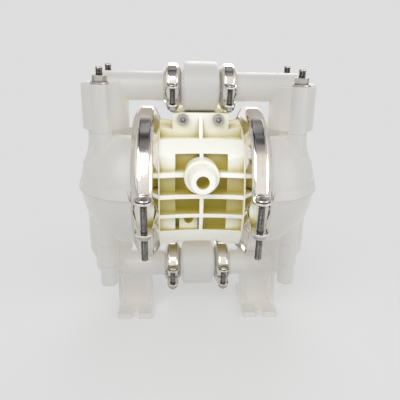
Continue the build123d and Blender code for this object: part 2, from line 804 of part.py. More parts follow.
# ================================================================ clamps
# Rolled stainless steel V-bands, each in two halves. At the split the crown is folded
# outwards into a tongue for the bolt, and the sloping sides run on to the split.
def clamp_frame(x, rise, turn):
    """Split plane of a clamp, at its centre and turned about the X axis."""
    return Plane((x, 0, axis_height + rise), x_dir=(1, 0, 0), z_dir=(0, 0, 1)).rotated((turn, 0, 0))


def clamp_half(frame, band, shoulder_r, tongue_rise, tongue_r, bolt_reach, bolt_r):
    """The half of a V-band that stands above its split plane."""
    crown_r, crown_half, mouth_r, mouth_half, sheet = band
    wall = sheet * sqrt(1 + band_slope(band) ** 2)
    section = Plane(frame.origin, x_dir=frame.x_dir, z_dir=-frame.y_dir)
    crown_y = sqrt(crown_r**2 - tongue_rise**2) - sheet
    with BuildPart() as half:
        with BuildSketch(section):
            with BuildLine():
                Polyline(
                    (-mouth_half, mouth_r),
                    (-crown_half, crown_r),
                    (crown_half, crown_r),
                    (mouth_half, mouth_r),
                    (mouth_half - wall, mouth_r),
                    (v_half(crown_r - sheet, band), crown_r - sheet),
                    (-v_half(crown_r - sheet, band), crown_r - sheet),
                    (wall - mouth_half, mouth_r),
                    (-mouth_half, mouth_r),
                )
            make_face()
            corners = vertices().sort_by(Axis.Y)
            fillet(corners[-2:], shoulder_r)
            fillet(corners[-4:-2], shoulder_r - sheet)
        revolve(axis=Axis(frame.origin, frame.x_dir))
        split(bisect_by=frame.offset(clamp_split / 2), keep=Keep.TOP)
        with BuildSketch(section):
            with BuildLine():
                Polyline(
                    (-mouth_half + wall, -clamp_split),
                    (-mouth_half + wall, tongue_rise / 4),
                    (-crown_half, tongue_rise),
                    (crown_half, tongue_rise),
                    (mouth_half - wall, tongue_rise / 4),
                    (mouth_half - wall, -clamp_split),
                    (-mouth_half + wall, -clamp_split),
                )
            make_face()
        extrude(amount=crown_r, both=True, mode=Mode.SUBTRACT)
        with BuildSketch(frame.offset(tongue_rise)):
            for side in (-1, 1):
                with BuildLine():
                    Polyline(
                        (-crown_half, side * crown_y),
                        (-tongue_r, side * bolt_reach),
                        (tongue_r, side * bolt_reach),
                        (crown_half, side * crown_y),
                        (-crown_half, side * crown_y),
                    )
                make_face()
                with Locations((0, side * bolt_reach)):
                    Circle(tongue_r)
                    Circle(bolt_r + bolt_gap, mode=Mode.SUBTRACT)
        extrude(amount=sheet)
    return half.part


def carriage_bolt(seat, head_r, bolt_r, length):
    """Domed head standing on a plane, and its shank below the plane."""
    head_height = head_r * clamp_head_rise
    dome = (head_r**2 + head_height**2) / (2 * head_height)
    dome_arc = degrees(asin(head_r / dome))
    section = Plane(seat.origin, x_dir=seat.x_dir, z_dir=-seat.y_dir)
    with BuildPart() as bolt:
        with BuildSketch(section):
            with BuildLine():
                Polyline((0, head_height), (0, -length), (bolt_r, -length), (bolt_r, 0), (head_r, 0))
                CenterArc((0, head_height - dome), dome, 90 - dome_arc, dome_arc)
            make_face()
        revolve(axis=Axis(seat.origin, seat.z_dir))
    return bolt.part


def hex_nut(seat, flats, bolt_r, height):
    """Hexagon nut above a plane, with its upper corners turned off."""
    section = Plane(seat.origin, x_dir=seat.x_dir, z_dir=-seat.y_dir)
    corner_r = flats / 2 * flat_to_corner
    corner_drop = (corner_r - flats / 2) * nut_corner_slope
    with BuildPart() as nut:
        with BuildSketch(seat):
            RegularPolygon(flats / 2, 6, major_radius=False)
            Circle(bolt_r + fit_gap, mode=Mode.SUBTRACT)
        extrude(amount=height)
        with BuildSketch(section):
            with BuildLine():
                Polyline(
                    (0, -height),
                    (corner_r, -height),
                    (corner_r, height - corner_drop),
                    (flats / 2, height),
                    (0, height),
                    (0, -height),
                )
            make_face()
        revolve(axis=Axis(seat.origin, seat.z_dir), mode=Mode.INTERSECT)
    return nut.part


def flipped(frame):
    """The same split plane, seen from the lower half."""
    return Plane(frame.origin, x_dir=frame.x_dir, z_dir=-frame.z_dir)


def clamp_hardware(frame, sheet, tongue_rise, reach, head_r, bolt_r, length, flats, nut):
    """Bolts and nuts of one clamp, front and rear, as two lists."""
    bolts = []
    nuts = []
    for side in (-1, 1):
        centre = frame.origin + frame.y_dir * side * reach
        top = centre + frame.z_dir * (tongue_rise + sheet + fit_gap)
        bottom = centre - frame.z_dir * (tongue_rise + sheet + fit_gap)
        bolts.append(carriage_bolt(Plane(top, frame.x_dir, frame.z_dir), head_r, bolt_r, length))
        nuts.append(hex_nut(Plane(bottom, frame.x_dir, -frame.z_dir), flats, bolt_r, nut))
    return bolts, nuts


large_bolts = []
large_nuts = []
for hand, x in (("left", -rim_x), ("right", rim_x)):
    frame = clamp_frame(x, 0, large_clamp_turn)
    shape = (LARGE_BAND, large_shoulder_r, large_tongue_rise, large_tongue_r)
    for half_name, half_frame in (("upper", frame), ("lower", flipped(frame))):
        half = clamp_half(half_frame, *shape, large_bolt_reach, large_bolt_r)
        save(half, f"large_clamp_{hand}_{half_name}")
    bolts, nuts = clamp_hardware(
        frame, large_sheet, large_tongue_rise, large_bolt_reach,
        large_head_r, large_bolt_r, large_bolt_length, large_nut_flats, large_nut_height,
    )
    large_bolts += bolts
    large_nuts += nuts
save(Compound(large_bolts), "large_clamp_bolts")
save(Compound(large_nuts), "large_clamp_nuts")

small_bolts = []
small_nuts = []
for line, rise, turn in (
    ("discharge", discharge_rise, discharge_clamp_turn),
    ("inlet", -inlet_drop, inlet_clamp_turn),
):
    for hand, x in (("left", -tee_joint_x), ("right", tee_joint_x)):
        frame = clamp_frame(x, rise, turn)
        shape = (SMALL_BAND, small_shoulder_r, small_tongue_rise, small_tongue_r)
        for half_name, half_frame in (("upper", frame), ("lower", flipped(frame))):
            half = clamp_half(half_frame, *shape, small_bolt_reach, small_bolt_r)
            save(half, f"{line}_clamp_{hand}_{half_name}")
        bolts, nuts = clamp_hardware(
            frame, small_sheet, small_tongue_rise, small_bolt_reach,
            small_head_r, small_bolt_r, small_bolt_length, small_nut_flats, small_nut_height,
        )
        small_bolts += bolts
        small_nuts += nuts
save(Compound(small_bolts), "small_clamp_bolts")
save(Compound(small_nuts), "small_clamp_nuts")

# ================================================================ manifold bolts
# Four long bolts, heads in the pockets below, hold each chamber between its two elbows.
head_top_rise = bolt_head + head_recess - bolt_seat_rise
corners = [(side * x, y) for x, y in PILLARS for side in (-1, 1)]

with BuildPart() as manifold_bolts:
    with BuildSketch(level(head_top_rise - fit_gap)):
        with Locations(*corners):
            RegularPolygon(bolt_flats / 2, 6, major_radius=False)
    extrude(amount=-bolt_head)
    with BuildSketch(level(head_top_rise - fit_gap)):
        with Locations(*corners):
            Circle(manifold_bolt_r)
    extrude(amount=bolt_tip_rise - head_top_rise + fit_gap)
save(manifold_bolts.part, "manifold_bolts")

with BuildPart() as manifold_washers:
    with BuildSketch(level(bolt_seat_rise + fit_gap)):
        with Locations(*corners):
            Circle(washer_r)
            Circle(manifold_bolt_r + bolt_gap / 2, mode=Mode.SUBTRACT)
    extrude(amount=washer_thickness)
save(manifold_washers.part, "manifold_washers")

nut_seat_rise = bolt_seat_rise + 2 * fit_gap + washer_thickness
manifold_nuts = []
for x, y in corners:
    seat = Plane((x, y, axis_height + nut_seat_rise))
    manifold_nuts.append(hex_nut(seat, bolt_flats, manifold_bolt_r, nut_height))
save(Compound(manifold_nuts), "manifold_nuts")

# ================================================================ seals and valve seats
manifold_rings = []
for rise in (discharge_rise, -inlet_drop):
    for side in (-1, 1):
        ring_x = side * (tee_joint_x - manifold_ring_r - seal_gap)
        ring_plane = Plane((ring_x, 0, axis_height + rise), z_dir=(1, 0, 0))
        with BuildPart(ring_plane) as ring:
            Torus(manifold_ring_pitch_r, manifold_ring_r)
        manifold_rings.append(ring.part)
save(Compound(manifold_rings), "manifold_o_rings")

seat_tops = [joint_rise, -joint_rise]
rabbet = 2 * (seat_ring_r + seal_gap)
seats = []
seat_rings = []
for rise in seat_tops:
    for side in (-1, 1):
        with BuildPart() as seat:
            with BuildSketch(COLUMN):
                Polygon(
                    (seat_bore_r, rise - seat_height),
                    (seat_r, rise - seat_height),
                    (seat_r, rise - rabbet),
                    (seat_r - rabbet, rise - rabbet),
                    (seat_r - rabbet, rise - fit_gap),
                    (seat_edge_r, rise - fit_gap),
                    (seat_bore_r, rise - fit_gap - seat_chamfer),
                    align=None,
                )
            revolve(axis=COLUMN_AXIS)
        seats.append(seat.part.moved(Pos(0 if side > 0 else -2 * port_x, 0, 0)))
        ring_centre = (side * port_x, 0, axis_height + rise - rabbet / 2)
        with BuildPart(Plane(ring_centre)) as ring:
            Torus(seat_r - rabbet / 2, seat_ring_r)
        seat_rings.append(ring.part)
save(Compound(seats), "valve_seats")
save(Compound(seat_rings), "seat_o_rings")

# ================================================================ valve balls
for line, rise in (("discharge", joint_rise), ("inlet", -joint_rise)):
    for hand, side in (("left", -1), ("right", 1)):
        with BuildPart(Plane((side * port_x, 0, axis_height + rise - fit_gap + ball_rise))) as ball:
            Sphere(ball_r)
        save(ball.part, f"valve_ball_{line}_{hand}")

# ================================================================ shaft group
# The shaft joins two pistons, each with its diaphragm clamped between an inner and an
# outer plate. The outer plate's stud screws into the shaft.
shaft_end_x = block_face_x - inner_piston_thickness

with BuildPart() as pump_shaft:
    with BuildSketch(END):
        Circle(shaft_r)
    extrude(amount=shaft_end_x, both=True)
    ends = pump_shaft.edges().group_by(Axis.X)
    chamfer(ends[0] + ends[-1], shaft_chamfer)
    for side in (-1, 1):
        with BuildSketch(END.offset(side * shaft_end_x)):
            Circle(piston_stud_r + fit_gap)
        extrude(amount=-side * (piston_stud_length + stud_room), mode=Mode.SUBTRACT)
save(pump_shaft.part, "pump_shaft")

with BuildPart() as inner_piston:
    with BuildSketch(FRONT):
        with BuildLine():
            Polyline(
                (shaft_end_x, piston_stud_r + fit_gap),
                (block_face_x, piston_stud_r + fit_gap),
                (block_face_x, piston_r),
                (block_face_x - piston_edge, piston_r),
                (shaft_end_x, piston_r - 2 * piston_edge),
                (shaft_end_x, piston_stud_r + fit_gap),
            )
        make_face()
    revolve(axis=SHAFT_AXIS)
save_both(inner_piston.part, "inner_piston")

crown_x = chamber_face_x + outer_piston_thickness
crown_height = outer_piston_thickness - piston_edge
crown_r = (piston_r**2 + crown_height**2) / (2 * crown_height)

with BuildPart() as outer_piston:
    with BuildSketch(FRONT):
        with BuildLine():
            plate = Polyline(
                (shaft_end_x - piston_stud_length, 0),
                (shaft_end_x - piston_stud_length, piston_stud_r),
                (chamber_face_x, piston_stud_r),
                (chamber_face_x, piston_r),
                (chamber_face_x + piston_edge, piston_r),
            )
            CenterArc((crown_x - crown_r, 0), crown_r, 0, degrees(asin(piston_r / crown_r)))
            Line((crown_x, 0), plate @ 0)
        make_face()
    revolve(axis=SHAFT_AXIS)
save_both(outer_piston.part, "outer_piston")

with BuildPart() as diaphragm:
    with BuildSketch(FRONT):
        with BuildLine():
            Polyline(
                (chamber_face_x, fold_r - fold_half),
                (chamber_face_x, piston_stud_r + fit_gap),
                (block_face_x, piston_stud_r + fit_gap),
                (block_face_x, fold_r - fold_half),
            )
            ThreePointArc(
                (block_face_x, fold_r - fold_half),
                (block_face_x + fold_height, fold_r),
                (block_face_x, fold_r + fold_half),
            )
            Polyline(
                (block_face_x, fold_r + fold_half),
                (block_face_x, flange_r - diaphragm_inset),
                (chamber_face_x, flange_r - diaphragm_inset),
                (chamber_face_x, fold_r + fold_half),
            )
            ThreePointArc(
                (chamber_face_x, fold_r + fold_half),
                (chamber_face_x + fold_height, fold_r),
                (chamber_face_x, fold_r - fold_half),
            )
        make_face()
    revolve(axis=SHAFT_AXIS)
save_both(diaphragm.part, "diaphragm")

with BuildPart() as shaft_bushings:
    for side in (-1, 1):
        with BuildSketch(END.offset(side * shaft_bushing_start)):
            Circle(shaft_bushing_r)
            Circle(shaft_r + slide_gap, mode=Mode.SUBTRACT)
        extrude(amount=side * shaft_bushing_length)
save(shaft_bushings.part, "shaft_bushings")

with BuildPart() as shaft_seals:
    for side in (-1, 1):
        with BuildSketch(END.offset(side * (shaft_seal_start + fit_gap))):
            Circle(shaft_seal_r)
            Circle(shaft_r + slide_gap, mode=Mode.SUBTRACT)
        extrude(amount=side * (shaft_seal_width - 2 * fit_gap))
save(shaft_seals.part, "shaft_seals")

# ================================================================ pilot spool
# Each inner piston pushes it across near the end of a stroke.
pilot_half = shaft_end_x - stroke_half + pilot_travel - ball_gap
PILOT = Plane((0, pilot_y, axis_height + pilot_rise), x_dir=(0, 1, 0), z_dir=(1, 0, 0))

with BuildPart() as pilot_sleeve:
    with BuildSketch(PILOT):
        Circle(pilot_sleeve_r)
        Circle(pilot_r + slide_gap, mode=Mode.SUBTRACT)
    extrude(amount=pilot_sleeve_half - fit_gap, both=True)
save(pilot_sleeve.part, "pilot_sleeve")

with BuildPart() as pilot_spool:
    with BuildSketch(PILOT):
        Circle(pilot_r)
    extrude(amount=pilot_half, both=True)
    for side in (-1, 1):
        with BuildSketch(PILOT.offset(side * pilot_land / 2)):
            Circle(pilot_r)
            Circle(pilot_waist_r, mode=Mode.SUBTRACT)
        extrude(amount=side * pilot_land, mode=Mode.SUBTRACT)
save(pilot_spool.part, "pilot_spool")

# ================================================================ air valve
# Bolted to the rear pad over a gasket. Its spool slides up and down in the barrel, which
# a cap, an O-ring and a snap ring close at each end.
valve_face_y = valve_pad_y + gasket_thickness
spool_y = valve_face_y + valve_axis_depth
bore_half = spool_half + spool_travel + ball_gap
barrel_half = bore_half + cap_thickness + snap_ring_thickness + snap_ring_recess
SPOOL = Plane((0, spool_y, axis_height + valve_middle_rise))
PAD = FRONT.offset(-valve_pad_y)
valve_screws = [
    (x, r)
    for x in (-valve_screw_x, valve_screw_x)
    for r in (valve_screw_upper, valve_screw_lower)
]

with BuildPart() as air_valve_gasket:
    with BuildSketch(PAD):
        with Locations((0, (deck_top + lower_lug_bottom) / 2)):
            RectangleRounded(2 * valve_half, deck_top - lower_lug_bottom, valve_corner)
        with Locations(*valve_screws):
            Circle(valve_screw_r + bolt_gap, mode=Mode.SUBTRACT)
    extrude(amount=-gasket_thickness)
save(air_valve_gasket.part, "air_valve_gasket")

with BuildPart() as air_valve_body:
    with BuildSketch(FRONT.offset(-valve_face_y)):
        with Locations((0, (valve_top + valve_bottom) / 2)):
            RectangleRounded(2 * valve_half, valve_top - valve_bottom, valve_corner)
    extrude(amount=-valve_flange_depth)
    with BuildSketch(SPOOL):
        Circle(valve_barrel_r)
        with Locations((0, -valve_axis_depth / 2)):
            Rectangle(2 * valve_barrel_r, valve_axis_depth)
    extrude(amount=barrel_half, both=True)
    with BuildSketch(FRONT.offset(-spool_y)):
        with Locations((0, exhaust_rise)):
            Circle(exhaust_boss_r)
    extrude(amount=-valve_barrel_r - exhaust_boss)
    with BuildSketch(SPOOL):
        Circle(spool_r + slide_gap)
    extrude(amount=bore_half, both=True, mode=Mode.SUBTRACT)
    for side in (-1, 1):
        with BuildSketch(SPOOL.offset(side * bore_half)):
            Circle(cap_r + fit_gap)
        extrude(amount=side * (cap_thickness + snap_ring_thickness + snap_ring_recess), mode=Mode.SUBTRACT)
        with BuildSketch(SPOOL.offset(side * (bore_half + cap_thickness))):
            Circle(cap_r + snap_ring_width / 2 + fit_gap)
        extrude(amount=side * (snap_ring_thickness + fit_gap), mode=Mode.SUBTRACT)
    with BuildSketch(FRONT.offset(-spool_y - valve_barrel_r - exhaust_boss)):
        with Locations((0, exhaust_rise)):
            Circle(exhaust_r)
    extrude(amount=exhaust_depth, mode=Mode.SUBTRACT)
    with BuildSketch(FRONT.offset(-spool_y)):
        with Locations((0, exhaust_rise)):
            Circle(exhaust_passage_r)
    extrude(amount=-valve_barrel_r, mode=Mode.SUBTRACT)
    with BuildSketch(FRONT.offset(-valve_face_y)):
        with Locations(*valve_screws):
            Circle(valve_screw_r + bolt_gap)
    extrude(amount=-valve_flange_depth, mode=Mode.SUBTRACT)
save(air_valve_body.part, "air_valve_body")

with BuildPart() as air_valve_spool:
    with BuildSketch(SPOOL):
        Circle(spool_r)
    extrude(amount=spool_half, both=True)
    for side in (-1, 1):
        with BuildSketch(SPOOL.offset(side * spool_land / 2)):
            Circle(spool_r)
            Circle(spool_waist_r, mode=Mode.SUBTRACT)
        extrude(amount=side * spool_land, mode=Mode.SUBTRACT)
save(air_valve_spool.part, "air_valve_spool")

snap_rings = []
for end, side in (("top", 1), ("bottom", -1)):
    with BuildPart() as cap:
        with BuildSketch(SPOOL.offset(side * (bore_half + fit_gap))):
            Circle(cap_r)
        extrude(amount=side * (cap_thickness - 2 * fit_gap))
    save(cap.part, f"air_valve_cap_{end}")
    with BuildPart() as snap_ring:
        with BuildSketch(SPOOL.offset(side * (bore_half + cap_thickness))):
            Circle(cap_r + snap_ring_width / 2)
            Circle(cap_r - snap_ring_width, mode=Mode.SUBTRACT)
            with Locations((0, cap_r)):
                Rectangle(2 * snap_ring_width, 4 * snap_ring_width, mode=Mode.SUBTRACT)
        extrude(amount=side * snap_ring_thickness)
    snap_rings.append(snap_ring.part)
save(Compound(snap_rings), "air_valve_snap_rings")

nut_y = valve_face_y + valve_flange_depth + fit_gap
screws = []
valve_nuts = []
for x, rise in valve_screws:
    head_y = wall_front_y if rise > 0 else lower_lug_front_y
    seat = Plane((x, head_y - fit_gap, axis_height + rise), x_dir=(1, 0, 0), z_dir=(0, -1, 0))
    with BuildPart() as screw:
        with BuildSketch(seat):
            Circle(valve_screw_head_r)
        extrude(amount=valve_screw_head)
        with BuildSketch(seat.offset(valve_screw_head)):
            RegularPolygon(valve_screw_socket / 2, 6, major_radius=False)
        extrude(amount=-valve_screw_head / 2, mode=Mode.SUBTRACT)
        with BuildSketch(seat):
            Circle(valve_screw_r)
        extrude(amount=head_y - fit_gap - nut_y - valve_nut_height - screw_end)
    screws.append(screw.part)
    nut_seat = Plane((x, nut_y, axis_height + rise), x_dir=(1, 0, 0), z_dir=(0, 1, 0))
    valve_nuts.append(hex_nut(nut_seat, valve_nut_flats, valve_screw_r, valve_nut_height))
save(Compound(screws), "air_valve_screws")
save(Compound(valve_nuts), "air_valve_nuts")
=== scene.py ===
"""Half-inch class air operated double diaphragm pump: finishes, threads, floor and light.

The bodies are translucent natural polypropylene round an ivory centre block, held by polished
stainless clamp bands and bolts. Metres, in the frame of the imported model: X to the right,
Y to the back, Z up, feet on the floor.
"""
from math import cos, pi, radians, sin

import bpy
import numpy as np
from mathutils import Matrix, Vector


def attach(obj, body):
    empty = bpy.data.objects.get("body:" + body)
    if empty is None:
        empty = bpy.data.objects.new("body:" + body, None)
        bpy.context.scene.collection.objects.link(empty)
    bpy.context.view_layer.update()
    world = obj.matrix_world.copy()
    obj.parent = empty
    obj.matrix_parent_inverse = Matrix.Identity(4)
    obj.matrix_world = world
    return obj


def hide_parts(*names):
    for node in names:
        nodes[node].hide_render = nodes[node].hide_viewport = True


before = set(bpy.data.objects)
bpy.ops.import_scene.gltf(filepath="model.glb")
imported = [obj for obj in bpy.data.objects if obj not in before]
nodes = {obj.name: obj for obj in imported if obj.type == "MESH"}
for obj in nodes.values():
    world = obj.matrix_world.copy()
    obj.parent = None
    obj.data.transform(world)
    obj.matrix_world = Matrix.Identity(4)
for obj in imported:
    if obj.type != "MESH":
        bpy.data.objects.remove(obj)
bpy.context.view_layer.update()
MM = 0.001

# ---------------------------------------------------------------- camera
# A normal lens a little above the pump and a little to its left, looking slightly down.
# The axes are built from the turn, the dip and the roll of the camera body.
PICTURE = 400                    # pixels each way
FOCAL = 458.4                    # focal length in pixels
SENSOR = 36.0                    # millimetres
EYE = Vector((-24.0, -438.1, 267.9)) * MM
DIP = radians(18.80)
TURN = radians(3.40)
ROLL = radians(1.04)

look = Vector((sin(TURN) * cos(DIP), cos(TURN) * cos(DIP), -sin(DIP)))
level_right = Vector((cos(TURN), -sin(TURN), 0))
level_up = level_right.cross(look)
right = level_right * cos(ROLL) + level_up * sin(ROLL)
up = level_up * cos(ROLL) - level_right * sin(ROLL)
lens = bpy.data.cameras.new("camera")
lens.sensor_width = SENSOR
lens.lens = FOCAL / PICTURE * SENSOR
lens.clip_start = 0.01
camera = bpy.data.objects.new("camera", lens)
camera.matrix_world = Matrix.Translation(EYE) @ Matrix((right, up, -look)).transposed().to_4x4()
bpy.context.scene.collection.objects.link(camera)
bpy.context.scene.camera = camera
bpy.context.scene.view_settings.view_transform = "Standard"


# ---------------------------------------------------------------- shader maths
# Materials and the world are written as expressions on shader sockets.
class Shade:
    """A shader output used like a number: each operator adds its Math node.

    add() makes any other node from its type, its settings, and the values or links of its
    sockets. A socket is named with _ for a space, or by its place as i0, i1 and so on.
    """

    def __init__(self, tree, socket=None):
        self.tree = tree
        self.socket = socket

    def add(self, kind, settings=None, out=0, **sockets):
        node = self.tree.nodes.new(kind)
        for name, value in (settings or {}).items():
            setattr(node, name, value)
        for name, value in sockets.items():
            place = int(name[1:]) if name[1:].isdigit() else name.replace("_", " ")
            socket = node.inputs[place]
            if isinstance(value, Shade):
                self.tree.links.new(value.socket, socket)
            elif socket.type == "RGBA":
                socket.default_value = (*value, 1)
            else:
                socket.default_value = value
        return Shade(self.tree, node.outputs[out]) if node.outputs else None

    def math(self, operation, first, second=0.0):
        return self.add("ShaderNodeMath", {"operation": operation}, i0=first, i1=second)

    def __add__(self, other):
        return self.math("ADD", self, other)

    def __radd__(self, other):
        return self.math("ADD", other, self)

    def __sub__(self, other):
        return self.math("SUBTRACT", self, other)

    def __rsub__(self, other):
        return self.math("SUBTRACT", other, self)

    def __mul__(self, other):
        return self.math("MULTIPLY", self, other)

    def __rmul__(self, other):
        return self.math("MULTIPLY", other, self)

    def __pow__(self, other):
        return self.math("POWER", self, other)

    def between(self, low, high):
        """0 below low, 1 above high, and a smooth step between."""
        settings = {"interpolation_type": "SMOOTHSTEP"}
        return self.add("ShaderNodeMapRange", settings, Value=self, From_Min=low, From_Max=high)

    def noise(self, place, scale, detail=3.0, roughness=0.5, distortion=0.0):
        return self.add(
            "ShaderNodeTexNoise", Vector=place, Scale=scale, Detail=detail,
            Roughness=roughness, Distortion=distortion,
        )

    def stretched(self, place, x, y, z):
        """Coordinates scaled along each axis, to draw a pattern out or squeeze it."""
        settings = {"vector_type": "POINT"}
        return self.add("ShaderNodeMapping", settings, Vector=place, Scale=(x, y, z))

    def mix(self, share, first, second):
        settings = {"data_type": "RGBA"}
        return self.add("ShaderNodeMix", settings, out=2, i0=share, i6=first, i7=second)

    def apart(self, place, axis):
        """One component of a vector: 0 for X, 1 for Y, 2 for Z."""
        return self.add("ShaderNodeSeparateXYZ", out=axis, Vector=place)


def material(name):
    """A material with an empty tree, its tree as a Shade, and Object coordinates."""
    made = bpy.data.materials.new(name)
    made.use_nodes = True
    made.node_tree.nodes.clear()
    tree = Shade(made.node_tree)
    place = tree.add("ShaderNodeTexCoord", out=3)
    return made, tree, place


def surface(tree, shader):
    tree.add("ShaderNodeOutputMaterial", Surface=shader)


def finish(piece, made):
    """Give a piece one material all over."""
    piece.data.materials.clear()
    piece.data.materials.append(made)


# ---------------------------------------------------------------- natural polypropylene
# Liquid chambers, elbows and tees: thick translucent mouldings, milky, with a satin skin, soft
# tool edges and faint flow marks. The light that soaks through them is given as a steady glow.
HOLE_REACH = 0.006               # walls this close all round get painted shade, dark as a pit
# painted shade: the near-black colour given to deep holes
HOLE_SHADE_TONE = (0.06, 0.052, 0.03)


def plastic(name, tone, pale, deep, glow, gloss, edge):
    """Moulded plastic: tone, from 0 to 1, leads from the pale colours to the deep ones.

    pale and deep are each a surface colour and the colour of the light that soaks through.
    """
    made, tree, place = material(name)
    shade = tone(tree, place)
    specks = tree.noise(place, 420.0, 2.0, 0.5).between(0.72, 0.80)
    scuff = tree.noise(tree.stretched(place, 1, 0.3, 1), 160.0, 4.0, 0.65).between(0.52, 0.70)
    grain = tree.noise(place, 1500.0, 2.0, 0.5) * 0.25 + tree.noise(place, 120.0, 2.0, 0.5)
    round_edge = tree.add("ShaderNodeBevel", {"samples": 6}, Radius=edge)
    skin = tree.add(
        "ShaderNodeBump", Strength=0.08, Distance=0.0004, Height=grain, Normal=round_edge
    )
    # painted shade: deep holes and pits turn near black and lose their glow
    nearby = tree.add("ShaderNodeAmbientOcclusion", {"samples": 8}, out=1, Distance=HOLE_REACH)
    hole_shade = (1 - nearby).between(0.70, 0.95)
    colour = tree.mix(specks * 0.3, tree.mix(shade, pale[0], deep[0]), deep[0])
    soaked = tree.mix(shade, pale[1], deep[1])
    shader = tree.add(
        "ShaderNodeBsdfPrincipled", Base_Color=tree.mix(hole_shade, colour, HOLE_SHADE_TONE),
        Roughness=gloss + scuff * 0.14, Normal=skin, IOR=1.49,
        Emission_Color=tree.mix(hole_shade, soaked, (0.0, 0.0, 0.0)), Emission_Strength=glow,
    )
    surface(tree, shader)
    return made


def milky(tree, place):
    """Slow clouds, drawn-out flow marks, and painted light: a little more colour where the light is
    shut in.
    """
    cloud = tree.noise(place, 18.0, 3.0, 0.55)
    flow = tree.noise(tree.stretched(place, 1, 1, 0.22), 70.0, 4.0, 0.6, 0.6)
    # painted light bounced between walls: hollows lean to the warmer deep colours
    hollow = 1 - tree.add("ShaderNodeAmbientOcclusion", {"samples": 8}, out=1, Distance=0.03)
    return (cloud * 0.45 + flow * 0.25 + hollow * 1.0).between(0.25, 1.2)


natural = plastic(
    "natural_polypropylene", milky,
    ((0.25, 0.25, 0.243), (0.285, 0.281, 0.268)), ((0.31, 0.298, 0.275), (0.345, 0.33, 0.305)),
    1.0, 0.36, 0.0014,
)
NATURAL_PIECES = [
    f"{part}_{side}"
    for part in ("liquid_chamber", "discharge_elbow", "inlet_elbow", "inner_piston", "outer_piston")
    for side in ("left", "right")
] + ["discharge_tee", "inlet_tee", "valve_seats"]
for node in NATURAL_PIECES:
    finish(nodes[node], natural)

# ---------------------------------------------------------------- ivory centre block
# One ribbed moulding, with painted shade: near white on its open faces and olive yellow deep between
# the ribs.
SHAFT = 138.0                    # height of the pump shaft, millimetres
AXIS_HEIGHT = SHAFT * MM
RIB_FRONTS = 58.5 * MM           # from the shaft axis to the fronts of the ribs


def ribbed(tree, place):
    """Painted shade from the depth behind the rib fronts, measured from the shaft axis, or else from
    how shut in it is.
    """
    back = tree.apart(place, 1)
    rise = tree.apart(place, 2) - AXIS_HEIGHT
    # painted shade: the deeper behind the rib fronts, the darker and more olive
    depth = RIB_FRONTS - (back * back + rise * rise) ** 0.5
    hollow = 1 - tree.add("ShaderNodeAmbientOcclusion", {"samples": 8}, out=1, Distance=0.03)
    cloud = tree.noise(place, 60.0, 3.0, 0.6) * 0.12
    return tree.math("MAXIMUM", depth.between(0.001, 0.013), hollow.between(0.25, 0.85)) + cloud


ivory = plastic(
    "ivory_plastic", ribbed,
    ((0.64, 0.64, 0.61), (0.21, 0.21, 0.195)), ((0.44, 0.37, 0.085), (0.075, 0.062, 0.006)),
    1.0, 0.30, 0.0009,
)
for node in ("centre_block", "air_valve_body", "air_valve_cap_top", "air_valve_cap_bottom"):
    finish(nodes[node], ivory)

# ---------------------------------------------------------------- polished clamp bands
# Rolled stainless strip, electropolished: mirror bright with faint rolling lines and smears.
made, tree, place = material("polished_stainless")
lines = tree.noise(tree.stretched(place, 900, 60, 60), 1.0, 3.0, 0.6)
smear = tree.noise(place, 60.0, 4.0, 0.6)
round_edge = tree.add("ShaderNodeBevel", {"samples": 6}, Radius=0.0006)
skin = tree.add(
    "ShaderNodeBump", Strength=0.12, Distance=0.0002, Height=lines + smear * 0.8, Normal=round_edge
)
shader = tree.add(
    "ShaderNodeBsdfPrincipled",
    Base_Color=tree.mix(smear.between(0.3, 0.7), (0.84, 0.82, 0.80), (0.74, 0.70, 0.65)),
    Metallic=1.0, Roughness=0.06 + smear.between(0.45, 0.75) * 0.10 + lines * 0.05, Normal=skin,
)
surface(tree, shader)
polished = made
for node in nodes:
    if "_clamp_" in node and not node.endswith(("bolts", "nuts")):
        finish(nodes[node], polished)

# ---------------------------------------------------------------- nuts, washers and screws
# Plain stainless fasteners, duller than the bands, with grime and painted shade in their corners.
made, tree, place = material("fastener_steel")
grime = tree.noise(place, 300.0, 4.0, 0.65)
hollow = 1 - tree.add("ShaderNodeAmbientOcclusion", {"samples": 8}, out=1, Distance=0.002)
# painted shade and grime: corners that nearby walls shut in turn dark
grime_and_shade = (grime * 0.6 + hollow * 1.2).between(0.35, 0.9)
round_edge = tree.add("ShaderNodeBevel", {"samples": 4}, Radius=0.0003)
skin = tree.add("ShaderNodeBump", Strength=0.2, Distance=0.0002, Height=grime, Normal=round_edge)
shader = tree.add(
    "ShaderNodeBsdfPrincipled",
    Base_Color=tree.mix(grime_and_shade, (0.52, 0.50, 0.48), (0.16, 0.145, 0.13)),
    Metallic=1.0, Roughness=0.24 + grime * 0.2, Normal=skin,
)
surface(tree, shader)
steel = made
for node in (
    "large_clamp_nuts", "small_clamp_nuts", "manifold_nuts", "manifold_washers",
    "air_valve_screws", "air_valve_nuts", "air_valve_snap_rings", "pump_shaft",
):
    finish(nodes[node], steel)

# ---------------------------------------------------------------- threaded bolts
# Carriage bolts through the clamp tongues and long hexagon bolts through the valve columns,
# all with rolled threads, their roots darkened by painted shade and a little grime.
made, tree, place = material("shaded_thread_steel")
grime = tree.noise(place, 240.0, 4.0, 0.65)
root = 1 - tree.add("ShaderNodeAmbientOcclusion", {"samples": 8}, out=1, Distance=0.0012)
# painted shade: thread roots turn near black, with a little grime
grime_and_shade = (root * 1.8 + grime * 0.3).between(0.12, 0.50)
shader = tree.add(
    "ShaderNodeBsdfPrincipled",
    Base_Color=tree.mix(grime_and_shade, (0.50, 0.48, 0.46), (0.035, 0.03, 0.026)),
    Metallic=1.0, Roughness=0.26 + grime_and_shade * 0.25,
)
surface(tree, shader)
shaded_thread = made

TURN_POINTS = 36                 # points round a bolt
THREAD_ROWS = 8                  # points along one pitch
QUARTER_INCH_PITCH = 1.27
QUARTER_INCH_DEPTH = 0.62
SMALL_PITCH = 0.9
SMALL_DEPTH = 0.45


